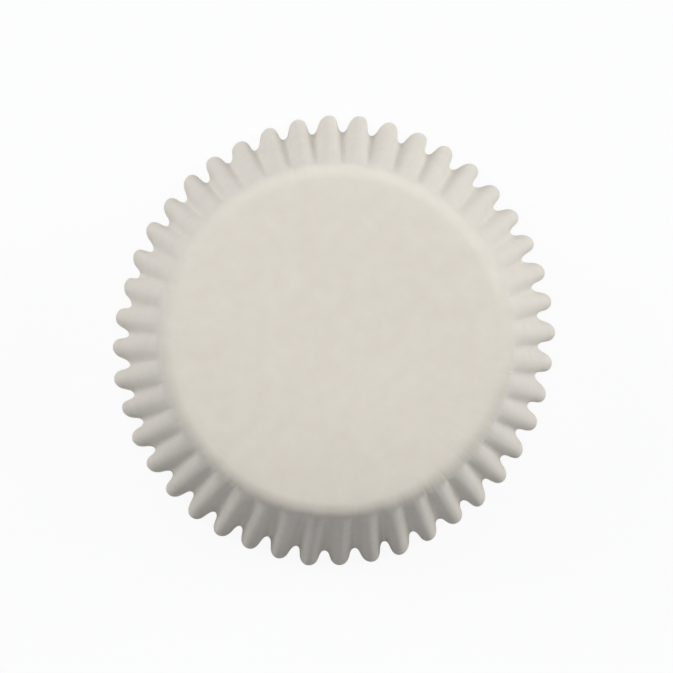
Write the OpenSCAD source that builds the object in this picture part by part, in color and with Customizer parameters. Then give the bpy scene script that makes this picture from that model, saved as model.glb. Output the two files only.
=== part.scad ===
// Fluted paper cupcake liner, standing on its rim with the base up.
// It is pressed from one flat disc of paper, and paper does not stretch. So each ring of the
// wall has paper to spare, which it takes up in a wave of pleats. They deepen towards the rim,
// where there is more of it. Near the base a good part of it goes into fine wrinkles instead,
// which are too small to draw.

/* [Paper] */
// Diameter of the flat disc of paper that the liner is pressed from
disc_d = 110; // [102:1:120]
// Thickness of the paper
paper_t = 0.08; // [0.06:0.01:0.16]
// Colour of the paper
paper_colour = "#D9D4C8"; // [#D9D4C8:White, #B08D62:Brown]

/* [Base] */
// Diameter of the base, to the corner where its plane meets the wall
base_d = 50; // [44:1:56]
// Radius of the bend from the base into the wall
bend_r = 2.5; // [1:0.1:4]

/* [Wall] */
// Lean of the wall out from the vertical, in degrees
flare = 16; // [8:1:24]
// Number of pleats around the wall
pleats = 44; // [30:1:50]
// Share of the spare paper that goes into fine wrinkles at the base, and not into the pleats
base_crimp = 0.6; // [0:0.05:0.8]
// The same share at the rim
rim_crimp = 0.06; // [0:0.02:0.3]
// How much more paper the outer folds take than the inner folds at the base
base_gain = 0.5; // [0:0.05:0.6]
// The same gain at the rim
rim_gain = 0.35; // [0:0.05:0.5]

/* [Drawing] */
// Flat panels that draw one pleat, an even number
panels = 12; // [8:2:12]
// Bands that draw the bend
bend_bands = 2; // [1:1:2]

/* [Hidden] */

// Rings of the straight wall, as shares of its length from the bend to the rim
wall_marks = [0.3, 1];
// Halvings that find how far a pleat swings, and the widest swing tried, in degrees
search_steps = 24;
widest_swing = 130;

turn = 90 - flare;
flat_r = base_d / 2 - bend_r * tan(turn / 2);

// A ring of the liner: its radius in the flat disc, its mean radius in the cup, how far it lies
// under the base, how far the paper has turned down there, its crimp, and the gain of its outer
// folds.
function bend_ring(a) = [
    flat_r + bend_r * a * PI / 180,
    flat_r + bend_r * sin(a),
    bend_r * (1 - cos(a)),
    a,
    base_crimp,
    base_gain
];
bend_end = bend_ring(turn);
wall_len = disc_d / 2 - bend_end[0];
rim = [
    disc_d / 2,
    bend_end[1] + wall_len * cos(turn),
    bend_end[2] + wall_len * sin(turn),
    turn,
    rim_crimp,
    rim_gain
];
// The straight wall runs evenly from the bend to the rim.
function wall_ring(share) = (1 - share) * bend_end + share * rim;
rings = [
    for (b = [0 : bend_bands]) bend_ring(turn * b / bend_bands),
    for (share = wall_marks) wall_ring(share)
];

// Along one pleat the direction of the paper swings like a sine, which is how a thin sheet
// buckles. Steps count panels from a crest. Panel i lies around step i + 0.5.
function heading(step, swing) = -swing * sin(360 * step / panels);
function panel_len(step, gain) = (1 + gain * cos(360 * step / panels)) / panels;
function sum(values) = values * [for (v = values) 1];
function span(swing, gain) =
    sum([for (i = [0.5 : panels]) panel_len(i, gain) * cos(heading(i, swing))]);

// The swing at which a pleat of paper of length 1 spans the given pitch, by halving the range.
function swing_for(pitch, gain, low = 0, high = widest_swing, steps = search_steps) =
    let (mid = (low + high) / 2)
    steps == 0 ? mid :
    span(mid, gain) > pitch ? swing_for(pitch, gain, mid, high, steps - 1) :
    swing_for(pitch, gain, low, mid, steps - 1);

// One pleat of paper of length 1, from crest to crest, with the middle of its depth at 0.
function pleat_line(swing, gain) =
    let (
        along = function (i) panel_len(i, gain) * [cos(heading(i, swing)), sin(heading(i, swing))],
        line = [for (i = 0, p = [0, 0]; i <= panels; p = p + along(i + 0.5), i = i + 1) p]
    )
    [for (p = line) p - [0, line[panels / 2][1] / 2]];

// From the middle of the paper to its face at a step, in the pleat's own plane. It is a mitre
// between two panels, so every panel has the full thickness.
function to_face(step, swing) =
    let (
        before = heading(step - 0.5, swing),
        after = heading(step + 0.5, swing),
        mitre = (before + after) / 2
    )
    [-sin(mitre), cos(mitre)] * paper_t / 2 / cos((after - before) / 2);

// The points of a ring on the outer face (side 1) or the inner face (side -1).
function ring_points(ring, side) =
    let (
        paper_r = ring[0],
        cup_r = ring[1],
        drop = ring[2],
        turned_down = ring[3],
        crimp = ring[4],
        gain = ring[5],
        wave_r = cup_r + (1 - crimp) * (paper_r - cup_r),
        swing = turned_down == 0 ? 0 : swing_for(cup_r / wave_r, gain),
        line = pleat_line(swing, gain) * 2 * PI * wave_r / pleats
    )
    [for (q = [0 : pleats - 1], i = [0 : panels - 1])
        let (
            p = line[i] + side * to_face(i, swing),
            a = q * 360 / pleats + p[0] / cup_r * 180 / PI,
            r = cup_r + p[1] * sin(turned_down)
        )
        [r * cos(a), r * sin(a), p[1] * cos(turned_down) - drop]
    ];

last = len(rings) - 1;
around = pleats * panels;
outer = [for (j = [0 : last]) each ring_points(rings[j], 1)];
inner = [for (j = [0 : last]) each ring_points(rings[j], -1)];
base_z = -min([for (p = concat(outer, inner)) p[2]]);

// Two triangles between point k of ring j and the next point of the next ring. The crease
// between them leans the other way past a trough, so a pleat is the same from both sides.
function panel(j, k) =
    let (
        a = j * around + k,
        b = j * around + (k + 1) % around,
        c = a + around,
        d = b + around
    )
    k % panels < panels / 2 ? [[a, d, c], [a, b, d]] : [[a, b, c], [b, d, c]];
// The same face on the other side of the paper, so it is turned over.
function turned(face, shift) = [for (i = [len(face) - 1 : -1 : 0]) face[i] + shift];

module pressed_paper() {
    inside = len(outer);
    hub = inside + len(inner);
    fan = [for (k = [0 : around - 1]) [(k + 1) % around, k]];
    skin = [for (j = [0 : last - 1], k = [0 : around - 1]) each panel(j, k)];
    edge = [
        for (k = [0 : around - 1])
        let (a = last * around + k, b = last * around + (k + 1) % around)
        each [[a, inside + b, inside + a], [a, b, inside + b]]
    ];
    polyhedron(
        points = concat(outer, inner, [[0, 0, paper_t / 2], [0, 0, -paper_t / 2]]),
        faces = concat(
            [for (f = fan) [each f, hub]],
            [for (f = fan) [each turned(f, inside), hub + 1]],
            skin,
            [for (f = skin) turned(f, inside)],
            edge
        )
    );
}

// The flat of the base is one plane, whatever the number of panels around it.
module base_flat() {
    cylinder(r = flat_r - paper_t, h = paper_t, center = true);
}

module liner() {
    color(paper_colour)
    translate([0, 0, base_z])
    union() {
        pressed_paper();
        base_flat();
    }
}

liner();
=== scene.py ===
"""A fluted paper cupcake liner, standing on its rim with the base up, on a white table."""

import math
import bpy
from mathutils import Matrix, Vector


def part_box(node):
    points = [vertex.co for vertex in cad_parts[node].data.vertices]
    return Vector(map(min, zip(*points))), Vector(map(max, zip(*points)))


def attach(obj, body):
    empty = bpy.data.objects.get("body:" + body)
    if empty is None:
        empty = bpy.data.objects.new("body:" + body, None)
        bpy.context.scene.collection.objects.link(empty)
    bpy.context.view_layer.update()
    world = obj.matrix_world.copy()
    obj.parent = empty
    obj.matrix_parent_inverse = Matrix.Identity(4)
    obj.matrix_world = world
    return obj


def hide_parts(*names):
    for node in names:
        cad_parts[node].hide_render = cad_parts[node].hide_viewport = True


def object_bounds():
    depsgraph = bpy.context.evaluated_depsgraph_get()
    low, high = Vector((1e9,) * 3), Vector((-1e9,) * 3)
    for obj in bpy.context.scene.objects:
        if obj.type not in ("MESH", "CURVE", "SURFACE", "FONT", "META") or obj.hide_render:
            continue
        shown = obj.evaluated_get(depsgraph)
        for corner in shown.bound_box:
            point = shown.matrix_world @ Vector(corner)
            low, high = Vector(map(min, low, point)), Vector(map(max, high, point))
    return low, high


bl_info = {
    "name": "Paper cupcake liner",
    "version": (1, 0, 0),
    "blender": (4, 5, 0),
    "location": "3D View > Sidebar > Liner",
    "description": "Pleats a disc of baking paper into a cupcake liner and sets it on a white table",
    "category": "Mesh",
}

import bpy
import numpy as np
from mathutils import Matrix, Vector

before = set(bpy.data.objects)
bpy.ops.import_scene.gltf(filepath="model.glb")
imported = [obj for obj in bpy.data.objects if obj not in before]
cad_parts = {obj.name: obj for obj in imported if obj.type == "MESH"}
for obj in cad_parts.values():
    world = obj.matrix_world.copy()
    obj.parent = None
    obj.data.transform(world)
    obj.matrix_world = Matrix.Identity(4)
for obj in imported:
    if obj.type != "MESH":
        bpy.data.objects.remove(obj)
CAD_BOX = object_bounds()
LINER_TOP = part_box("liner")[1].z

MM = 0.001

# Bands of the mesh from the middle of the base to the rim, and columns in one pleat
FLAT_BANDS = 10
BEND_BANDS = 8
WALL_BANDS = 20
PLEAT_COLUMNS = 24
# Power by which the bands of the wall crowd towards the bend
WALL_CROWDING = 1.25

# The search for how far a pleat swings: steps along its section, halvings, and the widest swing
SECTION_STEPS = 20 * PLEAT_COLUMNS
HALVINGS = 40
WIDEST_SWING = math.radians(130)
# A ring with a smaller share of spare paper than this stays flat
LEAST_SPARE = 1e-9

# How much the wrinkles' share of the spare paper rises down the wall, and the power by which it
# changes to its value at the rim
CRIMP_RISE = 0.2
CRIMP_FALL = 7
# What the pleats have of their paper in the bend, and the share of the wall at which they have
# all of it
ONSET_START = 0.15
ONSET_END = 0.055

# How this one liner strays from an even one. A slow change around it is a sum of waves, each
# with its number of lobes, the direction of one lobe in radians from +X, and its size. A spread
# is that of the single folds, for the crests and for the troughs.
# Drift of the folds along the rim, in degrees
DRIFT_DEG = ((1, 0, 0.28), (2, math.radians(21), 0.43))
DRIFT_SPREAD_DEG = (0.14, 0.16)
# Lean of the folds to one side, as a share of their depth
LEAN = ((0, 0, -0.09), (2, 0, -0.08), (1, math.radians(90), -0.04))
LEAN_SPREAD = (0.06, 0.06)
# How far single folds stray in depth at the rim, and sway between the bend and the rim
DEPTH_SPREAD = (0.10 * MM, 0.12 * MM)
SWAY_SPREAD = (0.06 * MM, 0.06 * MM)
# How much deeper the pleats are between the bend and the rim, as a share of their depth, and the
# power by which that ends at the rim
WALL_DEPTH = ((2, math.radians(97), 0.25),)
WALL_DEPTH_END = 4
# The smaller lobes of the rim, as shares of its radius, and how far it rises and falls
OUT_OF_ROUND = ((3, math.radians(-42), 0.0022), (4, 0.14, 0.002))
RIM_RISE = ((2, 0.4, 0.25 * MM),)
# How many pleats the dent reaches to each side
DENT_REACH = 1.5
# The sunk edge of the base: the radius in the disc at which it starts, how much farther out it is
# deepest, and how far around the liner it reaches to each side
SLUMP_START_R = 8 * MM
SLUMP_WIDTH = 16 * MM
SLUMP_REACH = math.radians(100)

# Unevenness of the base and of the whole sheet: height, number of waves, shortest and longest
BASE_SWELL = (0.10 * MM, 6, 16 * MM, 34 * MM)
SHEET_COCKLE = (0.018 * MM, 16, 3.5 * MM, 9 * MM)

# The fine wrinkles at the bend: their height and the number of waves that make them up
WRINKLE_HEIGHT = 0.004 * MM
WRINKLE_WAVES = 6
# The least and the most crests that such a wave has to a pleat, and patches around the liner
WRINKLES_PER_PLEAT = (2, 5)
WRINKLE_PATCHES = (3, 12)
# The paper over which they rise from the edge of the flat, and the power by which they fade down
# the wall
WRINKLE_RISE = 2.5 * MM
WRINKLE_FADE = 3

# Sizes in the look of the paper: its clouds of fibre, its fibres as they are drawn, their depth
CLOUD = 2.5 * MM
FIBRE = 0.25 * MM
FIBRE_DEPTH = 0.02 * MM
# The lines pressed up the wall: their width and depth, the radius of the ring that they are drawn
# on, and how much they climb with the wall
LINE = 0.8 * MM
LINE_DEPTH = 0.08 * MM
LINE_RING_R = 30 * MM
LINE_CLIMB = 0.05
# How far from the axis they start, are full, begin to weaken and are weak
LINES_START_R = 23.2 * MM
LINES_FULL_R = 24.8 * MM
LINES_WEAKEN_R = 25 * MM
LINES_WEAK_R = 34 * MM
# Their strength where they are full and where they are weak
LINES_FULL = 0.7
LINES_WEAK = 0.3
# Share of the light that goes through the paper
LIGHT_THROUGH = 0.12

# Share of plain white in what the camera sees of the table, and its side in metres
TABLE_GLOW = 0.92
TABLE_SIDE = 6
# The soft boxes: name, place in metres, side in metres and power in watts
SOFT_BOXES = (
    ("top_box", (0, 0, 1.2), 1.2, 3.6),
    ("back_box", (0.05, 0.6, 1.0), 0.8, 3.75),
    ("left_box", (-0.876, 0.446, 0.688), 0.7, 7.0),
    ("right_box", (0.958, 0.221, 0.688), 0.7, 5.75),
    ("low_right_box", (1.107, 0.36, 0.29), 0.5, 2.7),
)

# The side of the photograph, in pixels, and where the rim and the base lie in it
PHOTO_SIDE = 673
RIM_CENTRE_PX = (333.85, 341.1)
BASE_CENTRE_PX = (336.0, 341.0)
RIM_TIP_RADIUS_PX = 222.1
# How far the camera is turned, and its height over the base, from the sizes of base and rim
CREST_TURN = math.radians(1.9)
BASE_TO_CAMERA = 304 * MM
SENSOR_WIDTH_MM = 36


class LinerSizes(bpy.types.PropertyGroup):
    """Sizes of the paper and of the pleats pressed into it."""

    disc_d: bpy.props.FloatProperty(
        name="Paper disc", description="Diameter of the flat disc before it is pressed",
        default=110 * MM, unit="LENGTH")
    paper_t: bpy.props.FloatProperty(
        name="Paper thickness", description="Thickness of the paper",
        default=0.08 * MM, unit="LENGTH")
    base_d: bpy.props.FloatProperty(
        name="Base", description="Diameter of the base, to the corner where it meets the wall",
        default=50 * MM, unit="LENGTH")
    bend_r: bpy.props.FloatProperty(
        name="Bend", description="Radius of the bend from the base into the wall",
        default=2.5 * MM, unit="LENGTH")
    flare: bpy.props.FloatProperty(
        name="Flare", description="Lean of the wall out from the vertical",
        default=math.radians(16), subtype="ANGLE")
    pleats: bpy.props.IntProperty(
        name="Pleats", description="Number of pleats around the wall", default=44)
    base_crimp: bpy.props.FloatProperty(
        name="Crimp at the base",
        description="Share of the spare paper at the base that goes into fine wrinkles, not pleats",
        default=0.6, subtype="FACTOR")
    rim_crimp: bpy.props.FloatProperty(
        name="Crimp at the rim",
        description="Share of the spare paper at the rim that goes into fine wrinkles, not pleats",
        default=0.06, subtype="FACTOR")
    base_gain: bpy.props.FloatProperty(
        name="Outer fold gain at the base",
        description="How much more paper the outer folds take than the inner ones at the base",
        default=0.5, subtype="FACTOR")
    rim_gain: bpy.props.FloatProperty(
        name="Outer fold gain at the rim",
        description="How much more paper the outer folds take than the inner ones at the rim",
        default=0.35, subtype="FACTOR")
    dome: bpy.props.FloatProperty(
        name="Base dome", description="How far the middle of the base springs out",
        default=0.4 * MM, unit="LENGTH")
    oval: bpy.props.FloatProperty(
        name="Oval", description="How far the rim is pulled out of round, as a share of its radius",
        default=0.015, subtype="FACTOR")
    oval_axis: bpy.props.FloatProperty(
        name="Oval axis", description="Direction of the long axis of the rim, from +X",
        default=math.radians(65), subtype="ANGLE")
    dented_pleat: bpy.props.FloatProperty(
        name="Dented pleat", description="Direction of the one pleat that is pressed in, from +X",
        default=math.radians(164), subtype="ANGLE")
    dent: bpy.props.FloatProperty(
        name="Dent", description="Share of its depth that the dented pleat has lost",
        default=0.33, subtype="FACTOR")
    slump: bpy.props.FloatProperty(
        name="Slump", description="How far the edge of the base has sunk on one side",
        default=0.75 * MM, unit="LENGTH")
    slump_side: bpy.props.FloatProperty(
        name="Slump side", description="Direction of the side where the edge has sunk, from +X",
        default=math.radians(267), subtype="ANGLE")
    seed: bpy.props.IntProperty(
        name="Seed", description="Picks how the single folds stray from an even wave", default=7)


class LinerColours(bpy.types.PropertyGroup):
    """Colours of the paper and the table, as sRGB hex values."""

    paper: bpy.props.StringProperty(
        name="Paper", description="Body colour of the bleached paper", default="#EAE5DB")
    paper_thin: bpy.props.StringProperty(
        name="Thin places", description="Colour where the fibres lie thinner", default="#E6E0D5")
    table: bpy.props.StringProperty(
        name="Table", description="Colour of the table as it lights the liner", default="#E2E5EC")


def linear(hex_colour):
    """The linear RGBA of an sRGB hex value."""
    parts = [int(hex_colour[i : i + 2], 16) / 255 for i in (1, 3, 5)]
    return (*[c / 12.92 if c <= 0.04045 else ((c + 0.055) / 1.055) ** 2.4 for c in parts], 1.0)


def add_node(tree, kind, settings=None, links=None):
    """One node of a kind. settings go to its properties or sockets, links feed its sockets."""
    node = tree.nodes.new(kind)
    for key, value in (settings or {}).items():
        if isinstance(key, str) and hasattr(node, key):
            setattr(node, key, value)
        else:
            node.inputs[key].default_value = value
    for key, socket in (links or {}).items():
        tree.links.new(socket, node.inputs[key])
    return node


# The shape of the paper


def paper_rows(sizes):
    """For each ring of vertices: its radius in the flat disc, its mean radius in the cup, how far
    it lies under the base, how far the paper has turned down, and its share of the wall."""
    turn = math.pi / 2 - sizes.flare
    flat_r = sizes.base_d / 2 - sizes.bend_r * math.tan(turn / 2)
    bend_len = sizes.bend_r * turn
    wall_len = sizes.disc_d / 2 - flat_r - bend_len
    # the rings of the flat crowd towards its edge
    flat = np.sqrt(np.linspace(0, 1, FLAT_BANDS + 1)[1:]) * flat_r
    bend = np.linspace(0, 1, BEND_BANDS + 1)[1:] * turn
    wall = np.linspace(0, 1, WALL_BANDS + 1)[1:] ** WALL_CROWDING * wall_len
    end_r = flat_r + sizes.bend_r * math.sin(turn)
    end_drop = sizes.bend_r * (1 - math.cos(turn))
    paper_r = np.concatenate([flat, flat_r + sizes.bend_r * bend, flat_r + bend_len + wall])
    cup_r = np.concatenate(
        [flat, flat_r + sizes.bend_r * np.sin(bend), end_r + wall * math.cos(turn)])
    level = np.zeros_like(flat)
    drop = np.concatenate(
        [level, sizes.bend_r * (1 - np.cos(bend)), end_drop + wall * math.sin(turn)])
    turned = np.concatenate([level, bend, np.full_like(wall, turn)])
    share = np.concatenate([level, np.zeros_like(bend), wall / wall_len])
    return paper_r, cup_r, drop, turned, share, flat_r


def pleat_sections(ratio, gain):
    """One pleat of paper of length 1 for each ring, from crest to crest, as x along the wall and
    y out of it. The direction of the paper swings like a sine, by the angle at which the pleat
    spans 1 / ratio, so no paper is stretched. gain makes the outer folds broad and the inner ones
    narrow."""
    phase = 2 * math.pi * (np.arange(SECTION_STEPS) + 0.5) / SECTION_STEPS
    step = (1 + gain[:, None] * np.cos(phase)) / SECTION_STEPS
    low = np.zeros(len(ratio))
    high = np.full(len(ratio), WIDEST_SWING)
    for _ in range(HALVINGS):
        swing = (low + high) / 2
        wide = (step * np.cos(swing[:, None] * np.sin(phase))).sum(1) > 1 / ratio
        low = np.where(wide, swing, low)
        high = np.where(wide, high, swing)
    swing = np.where(ratio > 1 + LEAST_SPARE, (low + high) / 2, 0)
    heading = -swing[:, None] * np.sin(phase)
    start = np.zeros((len(ratio), 1))
    x = np.hstack([start, np.cumsum(step * np.cos(heading), 1)])
    y = np.hstack([start, np.cumsum(step * np.sin(heading), 1)])
    y -= y[:, SECTION_STEPS // 2, None] / 2
    every = SECTION_STEPS // PLEAT_COLUMNS
    return x[:, :-1:every], y[:, :-1:every]


def stray_by_fold(rng, spread, pleats):
    """A random value for each crest and each trough, eased from one to the next, with one value
    for every column around the liner."""
    crests = rng.normal(0, spread[0], pleats)
    troughs = rng.normal(0, spread[1], pleats)
    u = np.arange(PLEAT_COLUMNS) / PLEAT_COLUMNS
    to_crest = (1 + np.cos(2 * math.pi * u)) / 2
    near = np.where(u < 0.5, crests[:, None], np.roll(crests, -1)[:, None])
    return (near * to_crest + troughs[:, None] * (1 - to_crest)).ravel()


def slow_change(waves, around):
    """The sum of waves around the liner, at each place around it."""
    return sum(size * np.cos(lobes * (around - axis)) for lobes, axis, size in waves)


def eased(share):
    """A share from 0 to 1 that starts and ends softly."""
    return share * share * (3 - 2 * share)


def ripple(points, rng, height, count, shortest, longest):
    """Smooth unevenness at each point: waves of many lengths and directions."""
    total = np.zeros(points.shape[:-1])
    for _ in range(count):
        direction = rng.normal(size=3)
        direction /= np.linalg.norm(direction)
        length = rng.uniform(shortest, longest)
        total += np.sin(points @ direction * 2 * math.pi / length + rng.uniform(0, 2 * math.pi))
    return total * height / math.sqrt(count / 2)


def angle_from(direction, around):
    """The angle from a direction to each place around the liner, the short way."""
    return (around - direction + math.pi) % (2 * math.pi) - math.pi


def crimp_shares(sizes, share):
    """The share of the spare paper that fine wrinkles take, for each ring's share of the wall."""
    # the wrinkles hold on to the spare paper until near the rim, where the paper is free
    crimp = sizes.base_crimp + CRIMP_RISE * share
    crimp += (sizes.rim_crimp - crimp[-1]) * share ** CRIMP_FALL
    # in the bend they take nearly all of it, and the pleats set in just below
    onset = ONSET_START + (1 - ONSET_START) * eased(np.clip(share / ONSET_END, 0, 1))
    return 1 - (1 - crimp) * onset


def even_pleats(sizes, paper_r, cup_r, share):
    """An even wave of pleats on each ring: the angle of every column around the cup, and how far
    it lies out of the middle of the wall."""
    gain = sizes.base_gain + (sizes.rim_gain - sizes.base_gain) * share
    # each ring is a wave as long as the circle it was in the flat disc, less what wrinkles take
    wave_r = cup_r + (1 - crimp_shares(sizes, share)) * (paper_r - cup_r)
    x, y = pleat_sections(wave_r / cup_r, gain)
    length = (2 * math.pi * wave_r / sizes.pleats)[:, None]
    x, y = np.tile(x * length, sizes.pleats), np.tile(y * length, sizes.pleats)
    number = np.repeat(np.arange(sizes.pleats), PLEAT_COLUMNS)
    return x / cup_r[:, None] + number * 2 * math.pi / sizes.pleats, y


def stray_pleats(sizes, rng, cup_r, fall, around, angle, y):
    """The pleats as they stray from the even wave, more towards the rim. fall is how far down
    the wall a ring is, and around is the even place of each column."""
    drift = slow_change(DRIFT_DEG, around)
    drift += stray_by_fold(rng, DRIFT_SPREAD_DEG, sizes.pleats)
    angle = angle + np.radians(drift) * fall
    lean = slow_change(LEAN, around) + stray_by_fold(rng, LEAN_SPREAD, sizes.pleats)
    angle = angle + lean * y / cup_r[:, None] * fall
    y = y + stray_by_fold(rng, DEPTH_SPREAD, sizes.pleats) * fall
    # one pleat is dented
    from_dent = np.abs(angle_from(sizes.dented_pleat, around)) * sizes.pleats / (2 * math.pi)
    y = y * (1 - sizes.dent * eased(np.clip(DENT_REACH - from_dent, 0, 1)) * fall)
    # between bend and rim they are pressed deeper at the front and the back than at the sides
    y = y * (1 + slow_change(WALL_DEPTH, around) * (1 - fall ** WALL_DEPTH_END))
    sway = stray_by_fold(rng, SWAY_SPREAD, sizes.pleats)
    return angle, y + sway * np.sin(2 * math.pi * fall) * np.sqrt(fall)


def bend_wrinkles(rng, around, pleats):
    """Fine wrinkles that come and go around the liner."""
    least, most = WRINKLES_PER_PLEAT
    wrinkles = np.zeros(around.shape)
    for count in rng.integers(least * pleats, most * pleats, WRINKLE_WAVES):
        patch = 1 + np.cos(rng.integers(*WRINKLE_PATCHES) * around + rng.uniform(0, 2 * math.pi))
        wrinkles += np.sin(count * around + rng.uniform(0, 2 * math.pi)) * patch
    return wrinkles * WRINKLE_HEIGHT


def middle_sheet(sizes):
    """The middle surface of the paper, as rings of points from the middle to the rim."""
    rng = np.random.default_rng(sizes.seed)
    paper_r, cup_r, drop, turned, share, flat_r = paper_rows(sizes)
    angle, y = even_pleats(sizes, paper_r, cup_r, share)
    around = angle[-1]
    fall = share[:, None]
    angle, y = stray_pleats(sizes, rng, cup_r, fall, around, angle, y)

    # the cup is a little out of round, and its rim is not quite level
    out = sizes.oval * np.cos(2 * (around - sizes.oval_axis)) + slow_change(OUT_OF_ROUND, around)
    radius = cup_r[:, None] * (1 + out * fall) + y * np.sin(turned)[:, None]
    height = y * np.cos(turned)[:, None] - drop[:, None] + slow_change(RIM_RISE, around) * fall
    # the edge of the base has sunk on one side
    from_side = angle_from(sizes.slump_side, around) / SLUMP_REACH
    side = np.clip(np.cos(from_side * math.pi / 2), 0, 1) ** 2
    sink = np.clip((paper_r[:, None] - SLUMP_START_R) / SLUMP_WIDTH, 0, 1) ** 2 * (1 - fall)
    height = height - sizes.slump * sink * side
    points = np.stack([radius * np.cos(angle), radius * np.sin(angle), height], -1)

    # the base springs out and is never quite flat, and the whole sheet cockles a little
    inward = np.clip(1 - (paper_r / (flat_r + sizes.bend_r)) ** 2, 0, 1)[:, None]
    points[..., 2] += inward * (sizes.dome + ripple(points, rng, *BASE_SWELL))
    cockle = ripple(points, rng, *SHEET_COCKLE)
    # fine wrinkles take up the rest of the spare paper at the bend, and fade down the wall
    amount = np.clip((paper_r - flat_r) / WRINKLE_RISE, 0, 1) * (1 - share) ** WRINKLE_FADE
    cockle = cockle + amount[:, None] * bend_wrinkles(rng, around, sizes.pleats)
    outward = np.stack([np.cos(angle), np.sin(angle), np.zeros_like(angle)], -1)
    normal = outward * np.sin(turned)[:, None, None]
    normal[..., 2] = np.cos(turned)[:, None]
    points += normal * cockle[..., None]
    return points


def sheet_normals(points):
    """Unit normals of rings of points, on the side that faces out of the cup."""
    along = np.gradient(points, axis=0)
    across = np.roll(points, -1, 1) - np.roll(points, 1, 1)
    normal = np.cross(along, across)
    return normal / np.linalg.norm(normal, axis=-1, keepdims=True)


def paper_mesh(name, sizes):
    """The liner as one closed sheet: outer face, inner face and the cut edge at the rim."""
    points = middle_sheet(sizes)
    rings, around = points.shape[:2]
    offset = sheet_normals(points) * sizes.paper_t / 2
    faces_of_paper = [points + offset, points - offset]
    hub = points[0].mean(0)
    hubs = [hub + (0, 0, sizes.paper_t / 2), hub - (0, 0, sizes.paper_t / 2)]
    # it stands on its lowest point, at the frame's zero height
    verts = np.concatenate([*[p.reshape(-1, 3) for p in faces_of_paper], hubs])
    verts[:, 2] -= verts[:, 2].min()
    count = rings * around
    j, k = np.meshgrid(np.arange(rings - 1), np.arange(around), indexing="ij")
    nxt = (k + 1) % around
    upper, lower = j * around, (j + 1) * around
    quad = np.stack([upper + k, lower + k, lower + nxt, upper + nxt], -1).reshape(-1, 4)
    k = np.arange(around)
    nxt = (k + 1) % around
    last = (rings - 1) * around
    edge = np.stack([last + k, last + k + count, last + nxt + count, last + nxt], -1)
    fan = np.stack([np.full(around, 2 * count), k, nxt], -1)
    polygons = [*quad, *(quad[:, ::-1] + count), *edge]
    polygons += [*fan, *np.stack([np.full(around, 2 * count + 1), nxt + count, k + count], -1)]
    mesh = bpy.data.meshes.new(name)
    mesh.from_pydata(verts, [], [p.tolist() for p in polygons])
    mesh.polygons.foreach_set("use_smooth", [True] * len(mesh.polygons))
    sharpen_rim(mesh, last, around, count)
    return mesh


def sharpen_rim(mesh, last, around, count):
    """Marks the two edges of the cut rim as sharp, so the faces beside it shade as flat paper."""
    ends = np.zeros(len(mesh.edges) * 2, np.int64)
    mesh.edges.foreach_get("vertices", ends)
    ends = ends.reshape(-1, 2)
    outer = (ends >= last) & (ends < last + around)
    inner = (ends >= last + count) & (ends < last + count + around)
    sharp = outer.all(1) | inner.all(1)
    mesh.attributes.new("sharp_edge", "BOOLEAN", "EDGE").data.foreach_set("value", sharp)


# The materials and the studio


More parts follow.
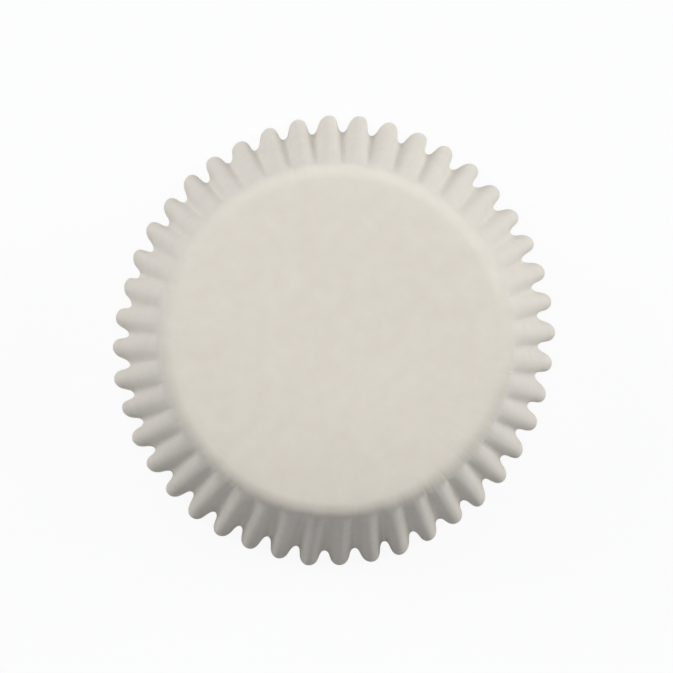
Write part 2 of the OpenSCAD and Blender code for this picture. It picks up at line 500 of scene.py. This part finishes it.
def pressed_greaseproof_paper(colours):
    """Bleached greaseproof baking paper, beaten to a dense felt of fibres, calendered and pressed
    hot. It is matt with a faint glaze, slightly cloudy where the fibres lie thicker, and thin
    enough to let some light through."""
    material = bpy.data.materials.new("pressed_greaseproof_paper")
    material.use_nodes = True
    tree = material.node_tree
    tree.nodes.clear()
    place = add_node(tree, "ShaderNodeTexCoord").outputs["Object"]
    # clouds of thicker and thinner fibre, as seen when paper is held to the light
    cloud = add_node(tree, "ShaderNodeTexNoise",
                     {"Scale": 1 / CLOUD, "Detail": 3.0, "Roughness": 0.55}, {"Vector": place})
    spread = add_node(tree, "ShaderNodeMapRange",
                      {"From Min": 0.3, "From Max": 0.7, "To Min": 0.0, "To Max": 1.0},
                      {"Value": cloud.outputs["Fac"]})
    body = add_node(tree, "ShaderNodeMix",
                    {"data_type": "RGBA", "A": linear(colours.paper_thin), "B": linear(colours.paper)},
                    {"Factor": spread.outputs["Result"]})
    axes = add_node(tree, "ShaderNodeSeparateXYZ", None, {"Vector": place})
    flat = add_node(tree, "ShaderNodeCombineXYZ", None,
                    {"X": axes.outputs["X"], "Y": axes.outputs["Y"]})
    from_axis = add_node(tree, "ShaderNodeVectorMath", {"operation": "LENGTH"},
                         {0: flat.outputs["Vector"]})
    # felt of fibres: they are 0.03 mm wide, and are drawn wider so that they show at all
    fibre = add_node(tree, "ShaderNodeTexNoise",
                     {"Scale": 1 / FIBRE, "Detail": 2.0, "Roughness": 0.6}, {"Vector": place})
    felt = add_node(tree, "ShaderNodeBump", {"Strength": 0.5, "Distance": FIBRE_DEPTH},
                    {"Height": fibre.outputs["Fac"]})
    # fine lines up the wall, where the die drew the paper in. They are drawn on a ring as wide as
    # the wall, so they follow the pleats and have no seam
    heading = add_node(tree, "ShaderNodeVectorMath", {"operation": "NORMALIZE"},
                       {0: flat.outputs["Vector"]})
    ring = add_node(tree, "ShaderNodeVectorMath", {"operation": "SCALE", "Scale": LINE_RING_R},
                    {0: heading.outputs["Vector"]})
    climb = add_node(tree, "ShaderNodeMath", {"operation": "MULTIPLY", 1: LINE_CLIMB},
                     {0: axes.outputs["Z"]})
    lift = add_node(tree, "ShaderNodeCombineXYZ", None, {"Z": climb.outputs["Value"]})
    drawn = add_node(tree, "ShaderNodeVectorMath", {"operation": "ADD"},
                     {0: ring.outputs["Vector"], 1: lift.outputs["Vector"]})
    lines = add_node(tree, "ShaderNodeTexNoise",
                     {"Scale": 1 / LINE, "Detail": 2.0, "Roughness": 0.7},
                     {"Vector": drawn.outputs["Vector"]})
    wall = add_node(tree, "ShaderNodeMapRange",
                    {"From Min": LINES_START_R, "From Max": LINES_FULL_R,
                     "To Min": 0.0, "To Max": 1.0},
                    {"Value": from_axis.outputs["Value"]})
    fade = add_node(tree, "ShaderNodeMapRange",
                    {"From Min": LINES_WEAKEN_R, "From Max": LINES_WEAK_R,
                     "To Min": LINES_FULL, "To Max": LINES_WEAK},
                    {"Value": from_axis.outputs["Value"]})
    depth = add_node(tree, "ShaderNodeMath", {"operation": "MULTIPLY"},
                     {0: wall.outputs["Result"], 1: fade.outputs["Result"]})
    press = add_node(tree, "ShaderNodeBump", {"Distance": LINE_DEPTH},
                     {"Strength": depth.outputs["Value"], "Height": lines.outputs["Fac"],
                      "Normal": felt.outputs["Normal"]})
    # calendered cellulose: IOR 1.5 and a broad gloss
    face = add_node(tree, "ShaderNodeBsdfPrincipled",
                    {"Roughness": 0.62, "IOR": 1.5, "Specular IOR Level": 0.35},
                    {"Base Color": body.outputs["Result"], "Normal": press.outputs["Normal"]})
    through = add_node(tree, "ShaderNodeBsdfTranslucent", None,
                       {"Color": body.outputs["Result"], "Normal": press.outputs["Normal"]})
    mixed = add_node(tree, "ShaderNodeMixShader", {0: LIGHT_THROUGH},
                     {1: face.outputs["BSDF"], 2: through.outputs["BSDF"]})
    add_node(tree, "ShaderNodeOutputMaterial", None, {"Surface": mixed.outputs["Shader"]})
    return material


def seen_rays(tree):
    """A socket that is 1 on the rays that show a background to the eye: straight to the camera,
    in a gloss or through something clear."""
    path = add_node(tree, "ShaderNodeLightPath")
    seen = add_node(tree, "ShaderNodeMath", {"operation": "MAXIMUM"},
                    {0: path.outputs["Is Camera Ray"], 1: path.outputs["Is Glossy Ray"]})
    clear = add_node(tree, "ShaderNodeMath", {"operation": "MAXIMUM"},
                     {0: seen.outputs["Value"], 1: path.outputs["Is Transmission Ray"]})
    return clear.outputs["Value"]


def white_table(colours):
    """A white laminate table that the camera sees as nearly plain white, with the liner's shadow
    on it. Other rays meet it as pale matt laminate, so it lights the liner no more than a real
    table does."""
    material = bpy.data.materials.new("white_laminate_table")
    material.use_nodes = True
    tree = material.node_tree
    tree.nodes.clear()
    laminate = add_node(tree, "ShaderNodeBsdfDiffuse", {"Color": linear(colours.table)})
    white = add_node(tree, "ShaderNodeEmission", {"Color": (1, 1, 1, 1), "Strength": 1.0})
    blend = add_node(tree, "ShaderNodeMixShader", {0: TABLE_GLOW},
                     {1: laminate.outputs["BSDF"], 2: white.outputs["Emission"]})
    shown = add_node(tree, "ShaderNodeMixShader", None,
                     {0: seen_rays(tree), 1: laminate.outputs["BSDF"],
                      2: blend.outputs["Shader"]})
    add_node(tree, "ShaderNodeOutputMaterial", None, {"Surface": shown.outputs["Shader"]})
    return material


def white_studio():
    """A studio that shows as plain white past the table, in a gloss and through something clear,
    and gives the liner no other light."""
    world = bpy.data.worlds.new("studio")
    world.use_nodes = True
    tree = world.node_tree
    tree.nodes.clear()
    white = add_node(tree, "ShaderNodeBackground", {"Color": (1, 1, 1, 1)},
                     {"Strength": seen_rays(tree)})
    add_node(tree, "ShaderNodeOutputWorld", None, {"Surface": white.outputs["Background"]})
    return world


# The operators


class LINER_OT_build_liner(bpy.types.Operator):
    """Pleat the paper disc into a liner and put it in the frame"""

    bl_idname = "liner.build_liner"
    bl_label = "Build liner"

    def execute(self, context):
        sizes = context.scene.liner_sizes
        piece = bpy.data.objects.new("paper_liner", paper_mesh("paper_liner", sizes))
        context.scene.collection.objects.link(piece)
        piece.data.materials.append(pressed_greaseproof_paper(context.scene.liner_colours))
        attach(piece, "root")
        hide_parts("liner")
        return {"FINISHED"}


def add_lamp(name, place, aim, side, power):
    """A square soft box at place, turned to aim."""
    lamp = bpy.data.lights.new(name, "AREA")
    lamp.shape = "SQUARE"
    lamp.size = side
    lamp.energy = power
    holder = bpy.data.objects.new(name, lamp)
    holder.location = place
    holder.rotation_euler = (Vector(aim) - Vector(place)).to_track_quat("-Z", "Y").to_euler()
    bpy.context.scene.collection.objects.link(holder)


def add_camera():
    """The camera over the liner, from where the photograph shows its rim and base."""
    camera = bpy.data.cameras.new("camera")
    holder = bpy.data.objects.new("camera", camera)
    bpy.context.scene.collection.objects.link(holder)
    bpy.context.scene.camera = holder
    rim_radius = (CAD_BOX[1][0] - CAD_BOX[0][0]) / 2
    rim_to_camera = BASE_TO_CAMERA + LINER_TOP
    px_per_m_at_rim = RIM_TIP_RADIUS_PX / rim_radius
    focal_px = px_per_m_at_rim * rim_to_camera
    camera.sensor_width = SENSOR_WIDTH_MM
    camera.lens = focal_px / PHOTO_SIDE * camera.sensor_width
    camera.clip_start = 0.01
    camera.clip_end = 20
    # the centre of the base doesn't lie in the picture where a camera straight above would show
    # it, so the camera stands a little to one side
    middle = PHOTO_SIDE / 2
    scale_up = rim_to_camera / BASE_TO_CAMERA
    straight = [middle + (centre - middle) * scale_up for centre in RIM_CENTRE_PX]
    px_per_m_at_base = focal_px / BASE_TO_CAMERA
    lean_x = (BASE_CENTRE_PX[0] - straight[0]) / px_per_m_at_base / LINER_TOP
    lean_y = -(BASE_CENTRE_PX[1] - straight[1]) / px_per_m_at_base / LINER_TOP
    aim = Vector(((middle - RIM_CENTRE_PX[0]) / px_per_m_at_rim,
                  (RIM_CENTRE_PX[1] - middle) / px_per_m_at_rim, 0))
    place = aim + Vector((-lean_x, -lean_y, 1)) * rim_to_camera
    # the camera is turned clockwise, so that the liner stands turned the other way
    back = (place - aim).normalized()
    right = Vector((math.sin(CREST_TURN), math.cos(CREST_TURN), 0)).cross(back).normalized()
    axes = Matrix((right, back.cross(right), back)).transposed().to_4x4()
    holder.matrix_world = Matrix.Translation(place) @ axes


class LINER_OT_build_stage(bpy.types.Operator):
    """Add the white table, the soft boxes, the studio and the camera"""

    bl_idname = "liner.build_stage"
    bl_label = "Build stage"

    def execute(self, context):
        scene = context.scene
        bpy.ops.mesh.primitive_plane_add(size=TABLE_SIDE, location=(0, 0, 0))
        table = context.object
        table.name = "table"
        table.data.materials.append(white_table(scene.liner_colours))
        centre = (0, 0, LINER_TOP / 2)
        for name, place, side, power in SOFT_BOXES:
            add_lamp(name, place, centre, side, power)
        scene.world = white_studio()
        scene.view_settings.view_transform = "Standard"
        add_camera()
        return {"FINISHED"}


class LINER_PT_panel(bpy.types.Panel):
    """The liner's sizes, colours and buttons"""

    bl_idname = "LINER_PT_panel"
    bl_label = "Cupcake liner"
    bl_space_type = "VIEW_3D"
    bl_region_type = "UI"
    bl_category = "Liner"

    def draw(self, context):
        layout = self.layout
        for group in (context.scene.liner_sizes, context.scene.liner_colours):
            for name in group.__annotations__:
                layout.prop(group, name)
        for operator in BUILDERS:
            layout.operator(operator.bl_idname)


BUILDERS = (LINER_OT_build_liner, LINER_OT_build_stage)
CLASSES = (LinerSizes, LinerColours, *BUILDERS, LINER_PT_panel)


def register():
    for cls in CLASSES:
        bpy.utils.register_class(cls)
    bpy.types.Scene.liner_sizes = bpy.props.PointerProperty(type=LinerSizes)
    bpy.types.Scene.liner_colours = bpy.props.PointerProperty(type=LinerColours)


def unregister():
    del bpy.types.Scene.liner_colours
    del bpy.types.Scene.liner_sizes
    for cls in reversed(CLASSES):
        bpy.utils.unregister_class(cls)


def main():
    register()
    bpy.ops.liner.build_liner()
    bpy.ops.liner.build_stage()


if __name__ == "__main__":
    main()
